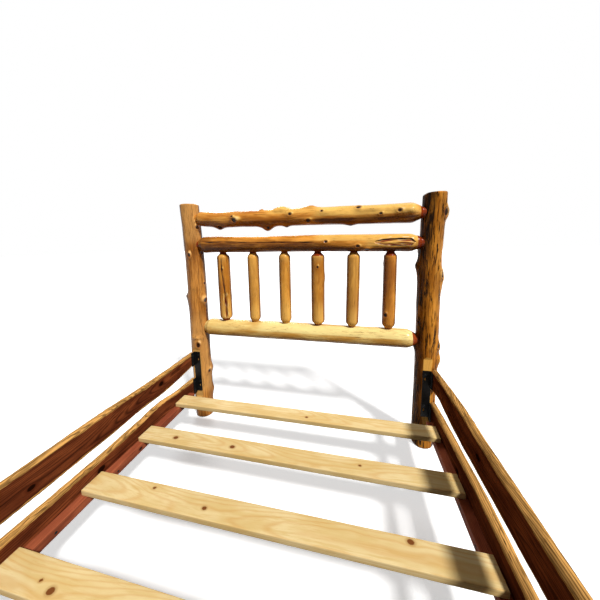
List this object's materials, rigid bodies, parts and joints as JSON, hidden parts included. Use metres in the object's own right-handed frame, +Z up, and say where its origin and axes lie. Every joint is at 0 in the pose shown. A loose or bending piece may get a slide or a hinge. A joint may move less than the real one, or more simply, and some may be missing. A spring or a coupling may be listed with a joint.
{
  "type": "log bed frame",
  "caption": "Rustic peeled-log bed frame with spindled headboard, low footboard, live-edge side planks on steel brackets and loose slats.",
  "frame": {"origin": "centre of the footprint, on the floor", "axes": "+X to the right seen from the foot, +Y along the bed towards the headboard, +Z up"},
  "size_m": [1.698, 2.306, 1.5416],
  "materials": {
    "post_log": "gloss varnish over peeled, knotty log",
    "rail_log": "gloss varnish over peeled, knotty log",
    "spindle_log": "gloss varnish over a peeled pole",
    "cedar_plank": "satin varnish, dark heartwood with pale live edges",
    "ledger_strip": "plain sawn wood",
    "pine_slat": "plain planed pine",
    "black_steel": "semi-gloss black",
    "screw_steel": "semi-gloss black"
  },
  "bodies": {
    "frame": {"head_left_post": "post_log", "head_right_post": "post_log", "foot_left_post": "post_log", "foot_right_post": "post_log", "head_top_rail": "rail_log", "head_middle_rail": "rail_log", "head_bottom_rail": "rail_log", "foot_top_rail": "rail_log", "foot_bottom_rail": "rail_log", "head_spindles": "spindle_log", "left_upper_plank": "cedar_plank", "left_lower_plank": "cedar_plank", "right_upper_plank": "cedar_plank", "right_lower_plank": "cedar_plank", "left_ledger": "ledger_strip", "right_ledger": "ledger_strip", "head_left_bracket": "black_steel", "head_right_bracket": "black_steel", "foot_left_bracket": "black_steel", "foot_right_bracket": "black_steel", "post_screws": "screw_steel"},
    "slat_1": {"slat_1": "pine_slat"},
    "slat_2": {"slat_2": "pine_slat"},
    "slat_3": {"slat_3": "pine_slat"},
    "slat_4": {"slat_4": "pine_slat"},
    "slat_5": {"slat_5": "pine_slat"},
    "slat_6": {"slat_6": "pine_slat"},
    "slat_7": {"slat_7": "pine_slat"}
  },
  "joints": [
    {"name": "slat_1_lift", "type": "slide", "parent": "frame", "child": "slat_1", "axis": [0, 0, 1], "range_m": [0, 0.32]},
    {"name": "slat_2_lift", "type": "slide", "parent": "frame", "child": "slat_2", "axis": [0, 0, 1], "range_m": [0, 0.32]},
    {"name": "slat_3_lift", "type": "slide", "parent": "frame", "child": "slat_3", "axis": [0, 0, 1], "range_m": [0, 0.32]},
    {"name": "slat_4_lift", "type": "slide", "parent": "frame", "child": "slat_4", "axis": [0, 0, 1], "range_m": [0, 0.32]},
    {"name": "slat_5_lift", "type": "slide", "parent": "frame", "child": "slat_5", "axis": [0, 0, 1], "range_m": [0, 0.32]},
    {"name": "slat_6_lift", "type": "slide", "parent": "frame", "child": "slat_6", "axis": [0, 0, 1], "range_m": [0, 0.32]},
    {"name": "slat_7_lift", "type": "slide", "parent": "frame", "child": "slat_7", "axis": [0, 0, 1], "range_m": [0, 0.32]}
  ]
}
